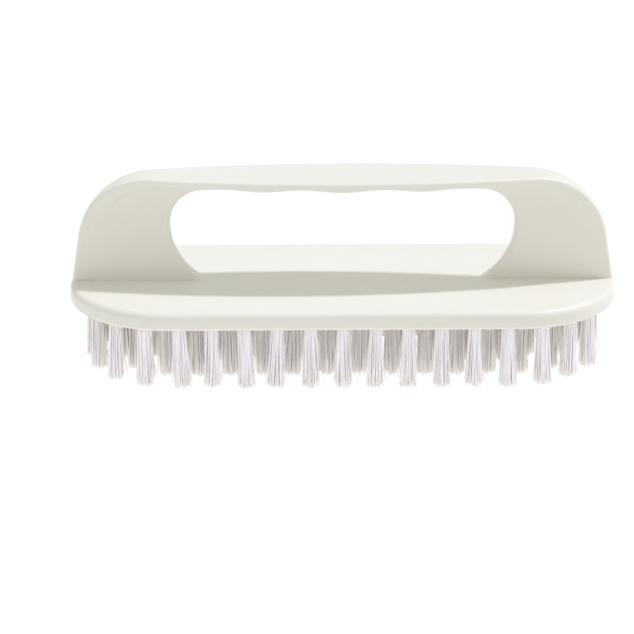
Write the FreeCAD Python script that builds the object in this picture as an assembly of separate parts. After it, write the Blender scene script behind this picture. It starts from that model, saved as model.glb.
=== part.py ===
import FreeCAD, Part
import math
import os

# Nail brush: one moulding with a block and a bridge handle, tufts of folded nylon filament
# in blind holes under the block, and a flat metal anchor across each hole that holds its
# tuft by the fold. Millimetres. X runs along the brush, Y across it and Z up, with the
# origin on the plane of the bristle tips, under the middle of the block.

V = FreeCAD.Vector

# Block
block_length = 125.0
block_width = 48.0
block_thickness = 4.1
block_corner_radius = 0.49 * block_width
block_top_round = 1.5
block_bottom_round = 0.9

# Handle, measured up from the top of the block
handle_height = 24.9
handle_foot_inset = 0.5         # from the end of the block to the foot of a leg
leg_lean = 9.3                  # degrees that each leg leans in
shoulder_radius = 17.0
grip_width = 16.6               # across the middle of the grip
grip_length = 115.2             # between the places where it narrows to a leg's thickness
grip_blend_radius = 25.0        # where the grip's curved sides run into the legs' flat faces
leg_thickness = 3.5
grip_edge_thickness = 1.4       # lip of the grip, at a finger groove
cove_radius = 4.0               # hollow between the lip and a leg's face
lip_sweep = 56.0                # degrees of each shoulder that the lip follows
handle_edge_round = 0.7
handle_sink = 2.4               # how far the handle's foot runs into the block

# Opening for the fingers
opening_length = 78.6
opening_height = 21.8
opening_upper_radius = 8.5
opening_lower_radius = 15.0
opening_sill = 1.9              # how far the outline runs below the block's top
opening_edge_round = 1.1
groove_pitch = 18.3
groove_depth = 0.6
grooves = 4

# Tufts
bristle_length = 15.1           # from the underside of the block to the tips
hole_diameter = 3.0
hole_depth = 3.2
hole_chamfer = 0.2
tuft_clearance = 0.02           # radial, between a tuft and its hole
tip_diameter = 4.0
tuft_crown_round = 0.5          # at the fold, in the bottom of the hole
tuft_pitch = 7.35
edge_margin = 4.8               # from the block's side to the outer row
end_margin = 5.1                # from the block's end to the outer ring
end_curve_reach = 20.65         # from a ring's last straight tuft to its end, lengthwise

# Anchors
anchor_thickness = 0.35
anchor_height = 1.6
anchor_bite = 0.35              # into the plastic at each side of the hole
anchor_cover = 0.7              # filament folded over the anchor's top edge

# Each ring: name, pitches from the outer ring's end to its own, tufts more in a straight
# row than the outer ring has, steps round each end
rings = (("outer", 0, 0, 4), ("middle", 1, 1, 2), ("inner", 2, 0, 1))

block_bottom = bristle_length
block_top = block_bottom + block_thickness
handle_top = block_top + handle_height
clear_of_all = block_length     # a length that runs clear of the whole brush
same_length = 1e-4              # lengths this close are equal
on_surface = 1e-3               # a point this close to a surface is on it


def mirrored(points):
    """Add each point's mirror image across the middle of the brush, in order round it."""
    return points + [V(-p.x, p.y, p.z) for p in reversed(points)]


def corner_arc(before, corner, after, radius):
    """Return the start, middle and end of the arc that rounds one corner."""
    to_before = (before - corner).normalize()
    to_after = (after - corner).normalize()
    half_angle = to_before.getAngle(to_after) / 2
    reach = radius / math.tan(half_angle)
    bisector = (to_before + to_after).normalize()
    centre = corner + bisector * (radius / math.sin(half_angle))
    return corner + to_before * reach, centre - bisector * radius, corner + to_after * reach


def rounded_outline(corners, radii, top_edges=None):
    """Return a closed wire through corners, each rounded, with its own edges along the top.

    The outline's top runs from the corner before the middle one to the middle one, and
    top_edges, given its two ends, returns the edges to use there in place of a line.
    """
    count = len(corners)
    stations = []
    for i, (corner, radius) in enumerate(zip(corners, radii)):
        if radius:
            stations.append(corner_arc(corners[i - 1], corner, corners[(i + 1) % count], radius))
        else:
            stations.append((corner, None, corner))
    edges = []
    for i, (start, middle, end) in enumerate(stations):
        if middle:
            edges.append(Part.Arc(start, middle, end).toShape())
        following = stations[(i + 1) % count][0]
        if top_edges and i == count // 2 - 1:
            edges.extend(top_edges(end, following))
        else:
            edges.append(Part.LineSegment(end, following).toShape())
    return Part.Wire(edges)


def finger_wave(start, end):
    """Return the edges of a grooved top: flat, a wave with one crest to a finger, flat."""
    half_span = (grooves - 1) * groove_pitch / 2
    points = []
    steps = 4 * (grooves - 1)
    for i in range(steps + 1):
        x = half_span - i * 2 * half_span / steps
        drop = groove_depth * (1 + math.cos(2 * math.pi * x / groove_pitch)) / 2
        points.append(V(x, 0, start.z - drop))
    wave = Part.BSplineCurve()
    level = V(-1, 0, 0)
    wave.interpolate(Points=points, InitialTangent=level, FinalTangent=level)
    return [
        Part.LineSegment(start, points[0]).toShape(),
        wave.toShape(),
        Part.LineSegment(points[-1], end).toShape(),
    ]


def prism(wire, y_from, y_to):
    """Return the solid of a wire in the XZ plane, between two places across the brush."""
    face = Part.Face(wire)
    face.translate(V(0, y_from, 0))
    return face.extrude(V(0, y_to - y_from, 0))


def edges_at(shape, test):
    """Return the shape's edges whose every sampled point passes a test."""
    chosen = []
    for edge in shape.Edges:
        if not edge.Degenerated and all(test(p) for p in edge.discretize(Number=5)):
            chosen.append(edge)
    return chosen


def near(value, target):
    """Say whether two lengths are the same within a model's tolerance."""
    return abs(value - target) < same_length


def gap(shape, point):
    """Return how far a point is from a shape."""
    return Part.Vertex(point).distToShape(shape)[0]


def crosses(edge):
    """Say whether an edge runs straight across the brush."""
    return near(edge.BoundBox.XLength, 0) and near(edge.BoundBox.ZLength, 0)


def shoulder_start():
    """Return how far from the middle of the brush its straight top ends and a shoulder begins."""
    corner = block_length / 2 - handle_foot_inset - handle_height * math.tan(math.radians(leg_lean))
    return corner - shoulder_radius / math.tan(math.radians(90 + leg_lean) / 2)


def handle_outline(inset, lean, top_edges=None):
    """Return a side view of the handle, from below the block's top.

    The top and the shoulders are moved in by inset. Each side leaves its shoulder where
    it leans by lean, in degrees.
    """
    radius = shoulder_radius - inset
    top = handle_top - inset
    foot = block_top - handle_sink
    corner = shoulder_start() + radius / math.tan(math.radians(90 + lean) / 2)
    lower = V(corner + (top - foot) * math.tan(math.radians(lean)), 0, foot)
    corners = mirrored([lower, V(corner, 0, top)])
    return rounded_outline(corners, (0, radius, radius, 0), top_edges)


def opening_outline():
    """Return the finger opening's side view: an oval with a grooved top."""
    side = opening_length / 2
    corners = mirrored([
        V(side, 0, block_top - opening_sill),
        V(side, 0, block_top + opening_height),
    ])
    lower, upper = opening_lower_radius, opening_upper_radius
    return rounded_outline(corners, (lower, upper, upper, lower), finger_wave)


def handle_plan():
    """Return the handle seen from above: wide at the grip, a leg's thickness at its ends."""
    grip_x, end_x = grip_length / 2, block_length / 2
    leg_y, mid_y = leg_thickness / 2, grip_width / 2
    edges = [
        Part.Arc(V(-grip_x, -leg_y, 0), V(0, -mid_y, 0), V(grip_x, -leg_y, 0)),
        Part.LineSegment(V(grip_x, -leg_y, 0), V(end_x, -leg_y, 0)),
        Part.LineSegment(V(end_x, -leg_y, 0), V(end_x, leg_y, 0)),
        Part.LineSegment(V(end_x, leg_y, 0), V(grip_x, leg_y, 0)),
        Part.Arc(V(grip_x, leg_y, 0), V(0, mid_y, 0), V(-grip_x, leg_y, 0)),
        Part.LineSegment(V(-grip_x, leg_y, 0), V(-end_x, leg_y, 0)),
        Part.LineSegment(V(-end_x, leg_y, 0), V(-end_x, -leg_y, 0)),
        Part.LineSegment(V(-end_x, -leg_y, 0), V(-grip_x, -leg_y, 0)),
    ]
    wire = Part.Wire([edge.toShape() for edge in edges])
    plan = Part.Face(wire).extrude(V(0, 0, clear_of_all))
    corners = edges_at(plan, lambda p: near(abs(p.x), grip_x) and near(abs(p.y), leg_y))
    return plan.makeFillet(grip_blend_radius, corners)


def hollow_cutter(side):
    """Return the tool that hollows one face of the handle and leaves a coved lip round it."""
    outline = handle_outline(grip_edge_thickness, 90 - lip_sweep, finger_wave)
    face_y = side * leg_thickness / 2
    cutter = prism(outline, face_y, side * grip_width)
    foot = block_top - handle_sink
    inner = edges_at(cutter, lambda p: near(p.y, face_y))
    coved = [e for e in inner if not all(near(p.z, foot) for p in e.discretize(Number=3))]
    return cutter.makeFillet(cove_radius, coved)


def handle():
    """Return the bridge handle, down to a little below the top of the block."""
    reach = grip_width
    outline = handle_outline(0, leg_lean)
    shape = prism(outline, -reach, reach).common(handle_plan())
    foot = block_top - handle_sink
    rim = edges_at(shape, lambda p: gap(outline, V(p.x, 0, p.z)) < on_surface)
    rim = [e for e in rim if not near(e.BoundBox.ZMax, foot) and not crosses(e)]
    shape = shape.makeFillet(handle_edge_round, rim)
    for side in (-1, 1):
        shape = shape.cut(hollow_cutter(side))
    opening = prism(opening_outline(), -reach, reach)
    wall = Part.makeCompound([f for f in opening.Faces if near(f.BoundBox.YLength, 2 * reach)])
    shape = shape.cut(opening)
    mouth = [e for e in edges_at(shape, lambda p: gap(wall, p) < on_surface) if not crosses(e)]
    return shape.makeFillet(opening_edge_round, mouth)


def block():
    """Return the block that the bristles are set in, before its holes."""
    corner = V(-block_length / 2, -block_width / 2, block_bottom)
    shape = Part.makeBox(block_length, block_width, block_thickness, corner)
    uprights = [e for e in shape.Edges if near(e.BoundBox.ZLength, block_thickness)]
    shape = shape.makeFillet(block_corner_radius, uprights)
    shape = shape.makeFillet(block_top_round, edges_at(shape, lambda p: near(p.z, block_top)))
    bottom = edges_at(shape, lambda p: near(p.z, block_bottom))
    return shape.makeFillet(block_bottom_round, bottom)


def ring_stations(step_in, extra, end_steps):
    """Return the places of one ring's tufts as groups of mirror images, front and back."""
    outer_end = block_length / 2 - end_margin
    outer_run = 2 * (outer_end - end_curve_reach)
    outer_gaps = round(outer_run / tuft_pitch)
    pitch = outer_run / outer_gaps
    half_run = (outer_gaps + extra) * pitch / 2
    reach = outer_end - step_in * pitch - half_run
    outer_y = block_width / 2 - edge_margin
    row_y = outer_y * (1 - 2 * step_in / (2 * len(rings) - 1))
    places = [(i * pitch - half_run, row_y) for i in range(outer_gaps + extra + 1)]
    for step in range(1, end_steps + 1):
        turn = math.pi / 2 * step / end_steps
        x = half_run + reach * math.sin(turn)
        y = 0.0 if step == end_steps else row_y * math.cos(turn)
        places.extend([(x, y), (-x, y)])
    places.sort()
    return [[(x, -y), (x, y)] if y else [(x, y)] for x, y in places]


def hole(x, y):
    """Return the tool that bores one tuft's blind hole, with its chamfered mouth."""
    r = hole_diameter / 2
    deep = block_bottom + hole_depth
    below = hole_chamfer            # so that the tool starts clear of the underside
    profile = Part.makePolygon([
        V(0, 0, block_bottom - below),
        V(r + hole_chamfer + below, 0, block_bottom - below),
        V(r, 0, block_bottom + hole_chamfer),
        V(r, 0, deep),
        V(0, 0, deep),
        V(0, 0, block_bottom - below),
    ])
    tool = Part.Face(profile).revolve(V(0, 0, 0), V(0, 0, 1), 360)
    tool.translate(V(x, y, 0))
    return tool


def anchor(x, y):
    """Return one anchor: a flat strip on edge across the hole, biting into both sides."""
    length = hole_diameter + 2 * anchor_bite
    top = block_bottom + hole_depth - anchor_cover
    corner = V(x - length / 2, y - anchor_thickness / 2, top - anchor_height)
    return Part.makeBox(length, anchor_thickness, anchor_height, corner)


def tuft(x, y):
    """Return one tuft: straight in its hole, spreading to its tips, folded over its anchor."""
    root = hole_diameter / 2 - tuft_clearance
    tip = tip_diameter / 2
    crown = block_bottom + hole_depth - tuft_clearance
    curl = tuft_crown_round * (1 - math.sqrt(0.5))
    curve_start = V(root, 0, crown - tuft_crown_round)
    curve_end = V(root - tuft_crown_round, 0, crown)
    edges = [
        Part.LineSegment(V(0, 0, 0), V(tip, 0, 0)),
        Part.LineSegment(V(tip, 0, 0), V(root, 0, block_bottom)),
        Part.LineSegment(V(root, 0, block_bottom), curve_start),
        Part.Arc(curve_start, V(root - curl, 0, crown - curl), curve_end),
        Part.LineSegment(curve_end, V(0, 0, crown)),
        Part.LineSegment(V(0, 0, crown), V(0, 0, 0)),
    ]
    profile = Part.Wire([e.toShape() for e in edges])
    shape = Part.Face(profile).revolve(V(0, 0, 0), V(0, 0, 1), 360)
    shape.translate(V(x, y, 0))
    return shape.cut(anchor(x, y))


def main():
    """Build every piece and write each node's file."""
    os.makedirs("parts", exist_ok=True)
    nodes = {}
    tools = []
    for name, step_in, extra, end_steps in rings:
        anchors = []
        for i, places in enumerate(ring_stations(step_in, extra, end_steps), start=1):
            nodes[f"{name}_tufts_{i:02d}"] = Part.makeCompound([tuft(x, y) for x, y in places])
            anchors.extend(anchor(x, y) for x, y in places)
            tools.extend(hole(x, y) for x, y in places)
        nodes[f"{name}_ring_anchors"] = Part.makeCompound(anchors)
        tools.extend(anchors)
    body = block().fuse(handle()).removeSplitter()
    nodes["block_and_handle"] = body.cut(tools)
    for name, shape in nodes.items():
        shape.exportStep(os.path.join("parts", name + ".step"))
        print(name, len(shape.Solids), round(shape.Volume, 2), shape.isValid())


main()
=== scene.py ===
"""Looks of a handled nail brush: an ivory moulding and ninety tufts of white nylon filament."""

import logging
import math
import random
from dataclasses import dataclass, field
from enum import Enum
from typing import Any

import bmesh
import bpy
from mathutils import Matrix, Vector


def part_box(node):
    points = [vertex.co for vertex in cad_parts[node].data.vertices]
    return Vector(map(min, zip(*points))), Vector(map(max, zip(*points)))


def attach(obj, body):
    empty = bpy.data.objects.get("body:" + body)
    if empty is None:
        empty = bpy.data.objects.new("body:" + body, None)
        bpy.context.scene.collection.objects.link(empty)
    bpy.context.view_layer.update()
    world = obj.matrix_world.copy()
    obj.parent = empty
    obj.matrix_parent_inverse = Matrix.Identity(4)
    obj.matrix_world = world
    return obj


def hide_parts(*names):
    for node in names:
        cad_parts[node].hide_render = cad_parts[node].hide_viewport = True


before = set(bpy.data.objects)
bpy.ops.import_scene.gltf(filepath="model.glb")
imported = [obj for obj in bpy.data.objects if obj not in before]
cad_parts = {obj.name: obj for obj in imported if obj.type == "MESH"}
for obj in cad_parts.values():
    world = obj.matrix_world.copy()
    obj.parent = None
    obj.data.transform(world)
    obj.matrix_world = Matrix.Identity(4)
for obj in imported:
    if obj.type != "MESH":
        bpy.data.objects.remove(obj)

logging.basicConfig(level=logging.INFO, format="%(message)s")
LOG = logging.getLogger("nail_brush")

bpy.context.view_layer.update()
MM = 0.001
UP = Vector((0.0, 0.0, 1.0))
BODY = "root"
FILAMENT_MAP = "OFBake"
BLOCK_THICKNESS = 4.1 * MM
WHITE = (1.0, 1.0, 1.0)
GOLDEN = math.pi * (3.0 - math.sqrt(5.0))

# The sockets of a Mix node that mixes colours.
MIX_SHARE, MIX_LOW, MIX_HIGH, MIX_RESULT = 0, 6, 7, 2


class Slot(Enum):
    """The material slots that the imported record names."""

    MOULDING = "moulding"
    FILAMENT = "filament"
    ANCHOR = "anchor_metal"


class Wave(Enum):
    """The sums that a Math node does here."""

    ADD = "ADD"
    SUBTRACT = "SUBTRACT"
    MULTIPLY = "MULTIPLY"
    FLOOR = "FLOOR"
    ABSOLUTE = "ABSOLUTE"


# ---------------------------------------------------------------- shader expressions


@dataclass
class Signal:
    """One shader socket, which Python's operators combine into Math nodes."""

    bench: "Bench"
    socket: bpy.types.NodeSocket

    def _math(self, kind: Wave, *values: Any) -> "Signal":
        """Add one Math node.

        Args:
            kind: the sum to do.
            values: the signals or numbers that it is done on, in order.

        Returns:
            The result.
        """
        return self.bench.node("ShaderNodeMath", {"operation": kind.value}, dict(enumerate(values)))

    def __add__(self, other: Any) -> "Signal":
        """Return self + other."""
        return self._math(Wave.ADD, self, other)

    def __radd__(self, other: Any) -> "Signal":
        """Return other + self."""
        return self._math(Wave.ADD, other, self)

    def __sub__(self, other: Any) -> "Signal":
        """Return self - other."""
        return self._math(Wave.SUBTRACT, self, other)

    def __rsub__(self, other: Any) -> "Signal":
        """Return other - self."""
        return self._math(Wave.SUBTRACT, other, self)

    def __mul__(self, other: Any) -> "Signal":
        """Return self * other."""
        return self._math(Wave.MULTIPLY, self, other)

    def __rmul__(self, other: Any) -> "Signal":
        """Return other * self."""
        return self._math(Wave.MULTIPLY, other, self)

    def floor(self) -> "Signal":
        """Return the whole number at or below the signal."""
        return self._math(Wave.FLOOR, self)

    def magnitude(self) -> "Signal":
        """Return the signal without its sign."""
        return self._math(Wave.ABSOLUTE, self)

    def spread(self, low: float, high: float) -> "Signal":
        """Return 0 at low, 1 at high and a straight line between, cut off at both ends."""
        inputs = {"Value": self, "From Min": low, "From Max": high}
        return self.bench.node("ShaderNodeMapRange", None, inputs)


class Bench:
    """One new material and the nodes that are laid out on it."""

    def __init__(self, name: str) -> None:
        """Start an empty material.

        Args:
            name: the material's name.
        """
        self.material = bpy.data.materials.new(name)
        self.material.use_nodes = True
        self.tree = self.material.node_tree
        self.tree.nodes.clear()

    def node(self, kind: str, settings: dict[str, Any] | None = None,
             inputs: dict[Any, Any] | None = None, output: Any = 0) -> Signal:
        """Add a node.

        Args:
            kind: the node's type.
            settings: its properties.
            inputs: a value or a signal for each socket, by name or number.
            output: the socket to return, by name or number.

        Returns:
            The chosen output as a signal.
        """
        made = self.tree.nodes.new(kind)
        for key, value in (settings or {}).items():
            setattr(made, key, value)
        for key, value in (inputs or {}).items():
            if isinstance(value, Signal):
                self.tree.links.new(value.socket, made.inputs[key])
            else:
                made.inputs[key].default_value = value
        return Signal(self, made.outputs[output])

    def position(self, scale: tuple[float, float, float] = (1.0, 1.0, 1.0)) -> Signal:
        """Return the point on the object, in metres, stretched by a scale."""
        here = self.node("ShaderNodeTexCoord", output="Object")
        return self.node("ShaderNodeMapping", None, {"Vector": here, "Scale": scale})

    def noise(self, where: Signal, scale: float, detail: float = 3.0,
              roughness: float = 0.5) -> Signal:
        """Return fractal noise from 0 to 1.

        Args:
            where: the point to read.
            scale: features per metre.
            detail: octaves.
            roughness: weight of the finer octaves.

        Returns:
            The noise's value.
        """
        inputs = {"Vector": where, "Scale": scale, "Detail": detail, "Roughness": roughness}
        return self.node("ShaderNodeTexNoise", None, inputs)

    def blend(self, share: Any, low: tuple, high: tuple) -> Signal:
        """Mix two colours.

        Args:
            share: how much of the second colour, 0 to 1.
            low: the colour at 0.
            high: the colour at 1.

        Returns:
            The mixed colour.
        """
        inputs = {MIX_SHARE: share, MIX_LOW: (*low, 1.0), MIX_HIGH: (*high, 1.0)}
        return self.node("ShaderNodeMix", {"data_type": "RGBA"}, inputs, output=MIX_RESULT)

    def bump(self, height: Signal, strength: float, distance: float,
             under: Signal | None = None) -> Signal:
        """Return a normal raised by a height.

        Args:
            height: the height, 0 to 1.
            strength: how much of the relief shows.
            distance: the relief of a height of 1, in metres.
            under: a normal to add to.

        Returns:
            The new normal.
        """
        inputs: dict[str, Any] = {"Height": height, "Strength": strength, "Distance": distance}
        if under is not None:
            inputs["Normal"] = under
        return self.node("ShaderNodeBump", None, inputs)

    def surface(self, **inputs: Any) -> bpy.types.Material:
        """Finish the material with one Principled shader.

        Args:
            inputs: the shader's sockets, with underscores for spaces.

        Returns:
            The finished material.
        """
        named = {key.replace("_", " "): value for key, value in inputs.items()}
        shader = self.node("ShaderNodeBsdfPrincipled", None, named)
        result = self.tree.nodes.new("ShaderNodeOutputMaterial")
        self.tree.links.new(shader.socket, result.inputs["Surface"])
        return self.material


# ---------------------------------------------------------------- finishes


@dataclass(frozen=True)
class IvoryPlastic:
    """The moulding's satin ivory plastic."""

    base: tuple[float, float, float] = (0.875, 0.860, 0.780)
    clouded: tuple[float, float, float] = (0.855, 0.838, 0.745)
    gloss: float = 0.34
    refraction: float = 1.49
    flow: tuple[float, float, float] = (0.35, 1.0, 1.6)
    cloud_scale: float = 38.0
    cloud_range: tuple[float, float] = (0.35, 0.7)
    cloud_dulling: float = 0.08
    grain_scale: float = 2600.0
    grain_dulling: float = 0.05
    grain_strength: float = 0.35
    grain_height: float = 0.02 * MM
    ripple_scale: float = 260.0
    ripple_strength: float = 0.25
    ripple_height: float = 0.06 * MM
    wear_scale: float = 900.0
    wear_range: tuple[float, float] = (0.55, 0.75)
    wear_dulling: float = 0.06
    depth_share: float = 0.22
    depth_colour: tuple[float, float, float] = (1.0, 0.85, 0.6)
    depth: float = 1.2 * MM

    def material(self) -> bpy.types.Material:
        """Return the material: faint clouds, a fine mould grain, soft ripples, dull patches."""
        bench = Bench("ivory_plastic")
        here = bench.position()
        clouds = bench.noise(bench.position(self.flow), self.cloud_scale, 4.0, 0.55)
        grain = bench.noise(here, self.grain_scale, 2.0, 0.6)
        ripple = bench.noise(here, self.ripple_scale, 2.0, 0.4)
        wear = bench.noise(here, self.wear_scale, 5.0, 0.7)
        dulled = self.gloss + self.cloud_dulling * clouds + self.grain_dulling * grain
        fine = bench.bump(grain, self.grain_strength, self.grain_height)
        return bench.surface(
            Base_Color=bench.blend(clouds.spread(*self.cloud_range), self.base, self.clouded),
            Roughness=dulled + self.wear_dulling * wear.spread(*self.wear_range),
            Normal=bench.bump(ripple, self.ripple_strength, self.ripple_height, fine),
            IOR=self.refraction,
            Subsurface_Weight=self.depth_share,
            Subsurface_Radius=self.depth_colour,
            Subsurface_Scale=self.depth,
        )


@dataclass(frozen=True)
class WhiteNylon:
    """The filaments' nylon, a little different from one filament to the next."""

    pale: tuple[float, float, float] = (0.970, 0.930, 0.865)
    deep: tuple[float, float, float] = (0.960, 0.915, 0.845)
    refraction: float = 1.53
    shine: float = 0.35
    own_tone: float = 0.35
    # painted shade: the filaments are coloured deeper towards the root, where they shade one
    # another under the block
    painted_root_shade: float = 0.45
    root_shade_range: tuple[float, float] = (0.15, 0.5)
    streak_stretch: tuple[float, float, float] = (1.0, 1.0, 0.08)
    streak_scale: float = 9000.0
    streak_tone: float = 0.12
    streak_strength: float = 0.08
    streak_height: float = 0.01 * MM
    gloss: float = 0.5
    own_dulling: float = 0.12
    streak_dulling: float = 0.1
    depth_share: float = 0.5
    depth: float = 0.3 * MM

    def material(self, columns: int) -> bpy.types.Material:
        """Return the material: a tone for each filament, with painted shade that darkens it towards
        the root, so it is whiter towards its cut ends.

        Args:
            columns: the columns of the filament map.
        """
        bench = Bench("white_nylon")
        place = bench.node("ShaderNodeUVMap", {"uv_map": FILAMENT_MAP})
        across = bench.node("ShaderNodeSeparateXYZ", None, {"Vector": place})
        along = Signal(bench, across.socket.node.outputs["Y"])
        column = (across * columns).floor()
        tone = bench.node("ShaderNodeTexWhiteNoise", {"noise_dimensions": "1D"}, {"W": column})
        streaks = bench.noise(bench.position(self.streak_stretch), self.streak_scale, 2.0)
        tipward = (along - 0.5).magnitude().spread(*self.root_shade_range)
        # the root term is painted shade, deeper towards the root; the filament and streak terms are
        # the nylon's own tone
        share = self.own_tone * tone + self.painted_root_shade * (1.0 - tipward) + self.streak_tone * streaks
        return bench.surface(
            Base_Color=bench.blend(share, self.pale, self.deep),
            Roughness=self.gloss + self.own_dulling * tone + self.streak_dulling * streaks,
            Normal=bench.bump(streaks, self.streak_strength, self.streak_height),
            IOR=self.refraction,
            Specular_IOR_Level=self.shine,
            Subsurface_Weight=self.depth_share,
            Subsurface_Radius=WHITE,
            Subsurface_Scale=self.depth,
        )


@dataclass(frozen=True)
class FlatWire:
    """The anchors' drawn and flattened wire."""

    bright: tuple[float, float, float] = (0.72, 0.72, 0.73)
    dull: tuple[float, float, float] = (0.52, 0.52, 0.53)
    line_stretch: tuple[float, float, float] = (0.05, 1.0, 1.0)
    line_scale: float = 12000.0
    line_strength: float = 0.3
    line_height: float = 0.01 * MM
    gloss: float = 0.25
    line_dulling: float = 0.2

    def material(self) -> bpy.types.Material:
        """Return the material: steel with fine lines drawn along the wire."""
        bench = Bench("flat_wire")
        drawn = bench.noise(bench.position(self.line_stretch), self.line_scale, 3.0, 0.6)
        return bench.surface(
            Base_Color=bench.blend(drawn, self.bright, self.dull),
            Metallic=1.0,
            Roughness=self.gloss + self.line_dulling * drawn,
            Normal=bench.bump(drawn, self.line_strength, self.line_height),
        )


@dataclass(frozen=True)
class PaleGround:
    """The studio floor: a matt light table, which glows white."""

    colour: tuple[float, float, float] = (0.08, 0.08, 0.08)
    darkening: float = 0.99
    tone_scale: float = 4.0
    roughness: float = 0.9
    glow: float = 0.95

    def material(self) -> bpy.types.Material:
        """Return the material: matt, with the faintest change of tone."""
        bench = Bench("pale_ground")
        tone = bench.noise(bench.position(), self.tone_scale, 2.0)
        darker = tuple(self.darkening * part for part in self.colour)
        return bench.surface(
            Base_Color=bench.blend(tone, self.colour, darker),
            Roughness=self.roughness,
            Specular_IOR_Level=0.0,
            Emission_Color=(*WHITE, 1.0),
            Emission_Strength=self.glow,
        )


# ---------------------------------------------------------------- making pieces


def new_piece(name: str, bm: bmesh.types.BMesh, material: bpy.types.Material,
              stands_for: str) -> bpy.types.Object:
    """Turn a finished bmesh into a piece that stands for a CAD node.

    Args:
        name: the piece's name.
        bm: its geometry, which is freed.
        material: its finish.
        stands_for: the CAD node that it hides.

    Returns:
        The new object, riding on the brush's only body.
    """
    mesh = bpy.data.meshes.new(name)
    bm.to_mesh(mesh)
    bm.free()
    mesh.materials.append(material)
    piece = bpy.data.objects.new(name, mesh)
    bpy.context.scene.collection.objects.link(piece)
    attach(piece, BODY)
    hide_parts(stands_for)
    LOG.info("%s: %d faces", name, len(mesh.polygons))
    return piece


@dataclass
class Moulding:
    """The block and the bridge handle, one moulding."""

    node: str = "block_and_handle"
    weld: float = 0.001 * MM
    crease: float = math.radians(50.0)
    area_weight: int = 100
    finish: IvoryPlastic = field(default_factory=IvoryPlastic)

    def build(self) -> bpy.types.Object:
        """Return the moulding as one smooth skin with its real creases left sharp."""
        bm = bmesh.new()
        bm.from_mesh(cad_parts[self.node].data)
        bmesh.ops.remove_doubles(bm, verts=bm.verts, dist=self.weld)
        for face in bm.faces:
            face.smooth = True
        for edge in bm.edges:
            edge.smooth = edge.calc_face_angle(0.0) < self.crease
        piece = new_piece("moulding", bm, self.finish.material(), self.node)
        even = piece.modifiers.new("even_normals", "WEIGHTED_NORMAL")
        even.keep_sharp = True
        even.weight = self.area_weight
        return piece


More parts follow.
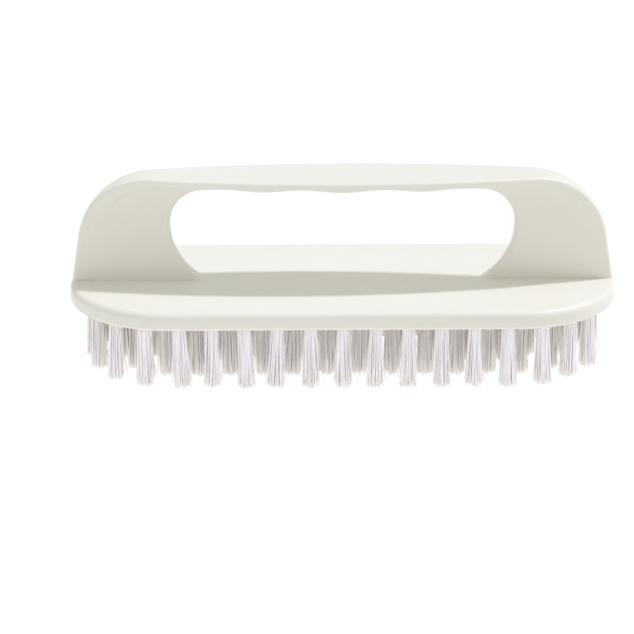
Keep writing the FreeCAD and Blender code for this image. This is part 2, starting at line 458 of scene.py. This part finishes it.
@dataclass
class Bunch:
    """One tuft: nylon filaments folded in the middle over an anchor, trimmed at the tips."""

    folds: int = 50
    sides: int = 6
    radius: float = 0.135 * MM
    root_radius: float = 1.47 * MM
    anchor_half: float = 0.175 * MM
    anchor_cover: float = 0.7 * MM
    crown_gap: float = 0.06 * MM
    spread: float = 0.14 * MM
    stray_share: float = 0.12
    stray_reach: float = 0.9 * MM
    lean: float = 0.3 * MM
    trim: float = 0.5 * MM
    tip_clear: float = 0.4
    stray_range: tuple[float, float] = (0.4, 1.0)
    stray_bow: float = 2.0
    stray_trim: tuple[float, float] = (0.5, 2.0)
    flare_curve: float = 0.8
    drift_curve: float = 1.5
    bow_share: float = 0.5
    free_steps: int = 4
    arch_inset: float = 0.93
    arch_room: float = 1.05
    arch: tuple[int, ...] = (0, 45, 90, 135, 180)

    def build(self, seed: int, tip_radius: float, mouth: float,
              crown: float) -> bmesh.types.BMesh:
        """Make one tuft about the Z axis.

        Args:
            seed: picks the tuft's own irregularities.
            tip_radius: the spread of the tips.
            mouth: the height of the block's underside.
            crown: the height of the bottom of the hole.

        Returns:
            The tuft's geometry, with the filament map on it.
        """
        chance = random.Random(seed)
        bm = bmesh.new()
        fold_layer = bm.verts.layers.int.new("fold")
        along_layer = bm.verts.layers.float.new("along")
        turn_layer = bm.verts.layers.int.new("turn")
        tilt = Vector((chance.gauss(0, self.lean), chance.gauss(0, self.lean), 0.0))
        flare = (tip_radius - self.radius) / (self.root_radius - self.radius)
        for number, root in enumerate(self._roots()):
            path = self._fold_path(chance, root, flare, tilt, mouth, crown)
            self._sweep(bm, path, number, (fold_layer, along_layer, turn_layer))
        self._unwrap(bm, fold_layer, along_layer, turn_layer)
        for face in bm.faces:
            face.smooth = len(face.verts) == 4
        return bm

    def _roots(self) -> list[Vector]:
        """Return where each fold's first leg leaves the hole, packed over half of it."""
        room = self.root_radius - self.radius
        roots = []
        for i in range(2 * self.folds):
            away = room * math.sqrt((i + 0.5) / (2 * self.folds))
            root = Vector((away * math.cos(i * GOLDEN), away * math.sin(i * GOLDEN), 0.0))
            if root.y > 0:
                roots.append(root)
        return roots

    def _leg(self, chance: random.Random, root: Vector, flare: float, tilt: Vector,
             mouth: float) -> list[Vector]:
        """Return one filament's free length, from the mouth of the hole to its cut end.

        Args:
            chance: the tuft's source of irregularities.
            root: where the filament leaves the hole.
            flare: how much wider the tuft is at its tips than at its root.
            tilt: how far the whole tuft leans.
            mouth: the height of the block's underside.

        Returns:
            The points along it, the highest first.
        """
        drift = Vector((chance.gauss(0, self.spread), chance.gauss(0, self.spread), 0.0))
        bow = Vector((chance.gauss(0, self.spread), chance.gauss(0, self.spread), 0.0))
        tip = self.radius * self.tip_clear + abs(chance.gauss(0, self.trim))
        if chance.random() < self.stray_share:
            drift += root.normalized() * self.stray_reach * chance.uniform(*self.stray_range)
            bow *= self.stray_bow
            tip += self.trim * chance.uniform(*self.stray_trim)
        points = []
        for step in range(self.free_steps + 1):
            share = step / self.free_steps
            place = root * (1.0 + (flare - 1.0) * share ** self.flare_curve)
            swerve = (drift + tilt) * share ** self.drift_curve
            place += swerve + bow * math.sin(math.pi * share) * self.bow_share
            place.z = mouth + (tip - mouth) * share
            points.append(place)
        return points

    def _fold_path(self, chance: random.Random, root: Vector, flare: float, tilt: Vector,
                   mouth: float, crown: float) -> list[Vector]:
        """Return one folded filament: up a leg, over the anchor and down the other leg.

        Args:
            chance: the tuft's source of irregularities.
            root: where the first leg leaves the hole; the second mirrors it.
            flare: how much wider the tuft is at its tips than at its root.
            tilt: how far the whole tuft leans.
            mouth: the height of the block's underside.
            crown: the height of the bottom of the hole.

        Returns:
            The points along it, from cut end to cut end.
        """
        twin = Vector((root.x, -root.y, 0.0))
        first = self._leg(chance, root, flare, tilt, mouth)
        second = self._leg(chance, twin, flare, tilt, mouth)
        beside = root.x * self.arch_inset
        nearest = self.anchor_half + self.radius
        room = self.root_radius - self.radius
        widest = math.sqrt(max(room ** 2 - beside ** 2, (self.arch_room * nearest) ** 2))
        clear = nearest + root.y * (widest - nearest) / room
        saddle = crown - self.anchor_cover
        tallest = self.anchor_cover - self.crown_gap - self.radius
        rise = self.radius + (tallest - self.radius) * (clear - nearest) / (room - nearest)
        over = []
        for degrees in self.arch:
            turn = math.radians(degrees)
            over.append(Vector((beside, clear * math.cos(turn), saddle + rise * math.sin(turn))))
        return first[::-1] + over + second

    def _sweep(self, bm: bmesh.types.BMesh, path: list[Vector], number: int,
               layers: tuple[Any, Any, Any]) -> None:
        """Run a round section along a path, ring by ring, and close both ends.

        Args:
            bm: the tuft's geometry.
            path: the filament's points.
            number: the filament's place in the tuft.
            layers: the fold, along and turn layers of its vertices.
        """
        fold_layer, along_layer, turn_layer = layers
        heading = (path[1] - path[0]).normalized()
        first = bmesh.ops.create_circle(bm, cap_ends=True, segments=self.sides, radius=self.radius)
        ring = first["verts"]
        for turn, vert in enumerate(ring):
            vert[turn_layer] = turn
        facing = Matrix.Translation(path[0]) @ UP.rotation_difference(heading).to_matrix().to_4x4()
        bmesh.ops.transform(bm, matrix=facing, verts=ring)
        ring_edges = list(ring[0].link_faces[0].edges)
        for index, point in enumerate(path):
            if index:
                made = bmesh.ops.extrude_edge_only(bm, edges=ring_edges)["geom"]
                ring = [part for part in made if isinstance(part, bmesh.types.BMVert)]
                ring_edges = [part for part in made if isinstance(part, bmesh.types.BMEdge)]
                bmesh.ops.translate(bm, vec=point - path[index - 1], verts=ring)
                ahead = path[min(index + 1, len(path) - 1)] - path[index - 1]
                ahead.normalize()
                swing = heading.rotation_difference(ahead).to_matrix()
                bmesh.ops.rotate(bm, cent=point, matrix=swing, verts=ring)
                heading = ahead
            for vert in ring:
                vert[fold_layer] = number
                vert[along_layer] = index / (len(path) - 1)
        bmesh.ops.contextual_create(bm, geom=ring_edges)

    def _unwrap(self, bm: bmesh.types.BMesh, fold_layer: Any, along_layer: Any,
                turn_layer: Any) -> None:
        """Lay each filament along a column of its own in the filament map.

        Args:
            bm: the tuft's geometry.
            fold_layer: each vertex's filament.
            along_layer: each vertex's place along it.
            turn_layer: each vertex's place round it.
        """
        chart = bm.loops.layers.uv.new(FILAMENT_MAP)
        bmesh.ops.recalc_face_normals(bm, faces=bm.faces)
        for face in bm.faces:
            turns = {loop.vert[turn_layer] for loop in face.loops}
            wraps = turns == {0, self.sides - 1}
            for loop in face.loops:
                turn = loop.vert[turn_layer]
                around = self.sides if wraps and turn == 0 else turn
                column = loop.vert[fold_layer] + (around + 0.5) / (self.sides + 1)
                loop[chart].uv = (column / (2 * self.folds), loop.vert[along_layer])


@dataclass
class BristleField:
    """Every tuft under the block."""

    bunch: Bunch = field(default_factory=Bunch)
    finish: WhiteNylon = field(default_factory=WhiteNylon)
    patterns: int = 9
    seed: int = 41

    @staticmethod
    def tuft_nodes() -> list[str]:
        """Return the names of the CAD nodes that hold tufts."""
        return sorted(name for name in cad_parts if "_tufts_" in name)

    @staticmethod
    def centres(low: Vector, high: Vector) -> list[Vector]:
        """Return where a node's tufts stand.

        Args:
            low: the node's lowest corner.
            high: the node's highest corner.

        Returns:
            One centre, or two where the node holds a front and a back tuft.
        """
        radius = (high.x - low.x) / 2
        middle = low.x + radius
        front = Vector((middle, low.y + radius, 0.0))
        back = Vector((middle, high.y - radius, 0.0))
        return [front] if (back - front).length < radius else [front, back]

    def build(self) -> list[bpy.types.Object]:
        """Return a piece of separate filaments for each node of tufts."""
        chance = random.Random(self.seed)
        nodes = self.tuft_nodes()
        low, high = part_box(nodes[0])
        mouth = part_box(Moulding.node)[0].z
        patterns = []
        for k in range(self.patterns):
            bm = self.bunch.build(self.seed + k, (high.x - low.x) / 2, mouth, high.z)
            mesh = bpy.data.meshes.new(f"pattern_{k}")
            bm.to_mesh(mesh)
            bm.free()
            patterns.append(mesh)
        material = self.finish.material(2 * self.bunch.folds)
        pieces = []
        for node in nodes:
            bm = bmesh.new()
            for number, centre in enumerate(self.centres(*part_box(node))):
                verts_before, faces_before = len(bm.verts), len(bm.faces)
                bm.from_mesh(chance.choice(patterns))
                half_turn = Matrix.Rotation(math.pi * chance.randrange(2), 4, "Z")
                place = Matrix.Translation(centre) @ half_turn
                bmesh.ops.transform(bm, matrix=place, verts=list(bm.verts)[verts_before:])
                chart = bm.loops.layers.uv[FILAMENT_MAP]
                for face in list(bm.faces)[faces_before:]:
                    for loop in face.loops:
                        loop[chart].uv.x += number / 2
            pieces.append(new_piece(f"{node}_filaments", bm, material, node))
        for mesh in patterns:
            bpy.data.meshes.remove(mesh)
        return pieces


@dataclass
class Anchors:
    """The flat strips of metal across the holes, which keep their CAD shape."""

    finish: FlatWire = field(default_factory=FlatWire)

    def dress(self) -> int:
        """Give every anchor node its finish and return how many nodes there are."""
        material = self.finish.material()
        nodes = [obj for name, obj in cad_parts.items() if name.endswith("_anchors")]
        for obj in nodes:
            obj.data.materials.clear()
            obj.data.materials.append(material)
        return len(nodes)


# ---------------------------------------------------------------- studio


@dataclass
class Studio:
    """The floor, the lights and the camera."""

    ground: PaleGround = field(default_factory=PaleGround)
    ground_reach: float = 4.0
    sky: float = 0.62
    sun: float = 1.82
    sun_colour: tuple[float, float, float] = (0.87, 0.88, 1.0)
    sun_from: tuple[float, float, float] = (0.52, 0.19, 1.0)
    sun_width: float = math.radians(4.0)
    card: float = 1.7
    card_colour: tuple[float, float, float] = (0.68, 0.66, 1.0)
    card_from: tuple[float, float, float] = (0.12, -1.0, 0.22)
    card_width: float = math.radians(80.0)
    distance: float = 0.540
    elevation: float = math.radians(20.0)
    azimuth: float = math.radians(-0.5)
    roll: float = math.radians(-0.35)
    lens: float = 133.2
    clip_start: float = 0.01
    right_of_centre: float = 0.00587
    above_centre: float = 0.00925

    def floor(self) -> None:
        """Lay the floor at the bristle tips."""
        bm = bmesh.new()
        bmesh.ops.create_grid(bm, x_segments=1, y_segments=1, size=self.ground_reach)
        mesh = bpy.data.meshes.new("floor")
        bm.to_mesh(mesh)
        bm.free()
        mesh.materials.append(self.ground.material())
        floor = bpy.data.objects.new("floor", mesh)
        bpy.context.scene.collection.objects.link(floor)

    def lights(self) -> None:
        """Light from a white room and one soft key, high behind the right shoulder."""
        scene = bpy.context.scene
        world = bpy.data.worlds.new("room")
        world.use_nodes = True
        background = world.node_tree.nodes["Background"]
        background.inputs["Color"].default_value = (*WHITE, 1.0)
        background.inputs["Strength"].default_value = self.sky
        scene.world = world
        self._lamp("key", self.sun, self.sun_colour, self.sun_width, self.sun_from)

    def brighten(self, pieces: list[bpy.types.Object]) -> None:
        """Light the bristles alone with a soft cool card in front of them.

        Args:
            pieces: the pieces of bristle.
        """
        lit = bpy.data.collections.new("lit_by_card")
        for piece in pieces:
            lit.objects.link(piece)
        lamp = self._lamp("card", self.card, self.card_colour, self.card_width, self.card_from)
        lamp.light_linking.receiver_collection = lit

    @staticmethod
    def _lamp(name: str, energy: float, colour: tuple[float, float, float], width: float,
              toward: tuple[float, float, float]) -> bpy.types.Object:
        """Add a distant lamp.

        Args:
            name: the lamp's name.
            energy: its strength.
            colour: its colour.
            width: the angle that it fills, in radians.
            toward: the direction to it from the brush.

        Returns:
            The lamp's object.
        """
        light = bpy.data.lights.new(name, "SUN")
        light.energy = energy
        light.color = colour
        light.angle = width
        lamp = bpy.data.objects.new(name, light)
        lamp.rotation_mode = "QUATERNION"
        lamp.rotation_quaternion = Vector(toward).to_track_quat("Z", "Y")
        bpy.context.scene.collection.objects.link(lamp)
        return lamp

    def camera(self) -> None:
        """Stand the camera a little above the brush, square to its long side."""
        target = Vector((0.0, 0.0, self.block_top()))
        level = math.cos(self.elevation)
        back = Vector((math.sin(self.azimuth) * level, -math.cos(self.azimuth) * level,
                       math.sin(self.elevation)))
        eye = target + back * self.distance
        right = UP.cross(back).normalized()
        above = back.cross(right)
        aim = target - right * self.right_of_centre - above * self.above_centre
        camera = bpy.data.objects.new("camera", bpy.data.cameras.new("camera"))
        camera.data.lens = self.lens
        camera.data.clip_start = self.clip_start
        camera.location = eye
        camera.rotation_mode = "QUATERNION"
        facing = (eye - aim).to_track_quat("Z", "Y")
        camera.rotation_quaternion = facing @ Matrix.Rotation(self.roll, 3, "Z").to_quaternion()
        bpy.context.scene.collection.objects.link(camera)
        bpy.context.scene.camera = camera

    @staticmethod
    def block_top() -> float:
        """Return the height of the block's top, where the camera points."""
        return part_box(Moulding.node)[0].z + BLOCK_THICKNESS

    def build(self) -> None:
        """Set up the whole studio."""
        self.floor()
        self.lights()
        self.camera()
        view = bpy.context.scene.view_settings
        view.view_transform = "Standard"
        view.look = "None"


def main() -> None:
    """Build the brush and its studio."""
    studio = Studio()
    studio.build()
    Moulding().build()
    pieces = BristleField().build()
    studio.brighten(pieces)
    LOG.info("bristle pieces: %d", len(pieces))
    LOG.info("anchor nodes: %d", Anchors().dress())


if __name__ == "__main__":
    main()
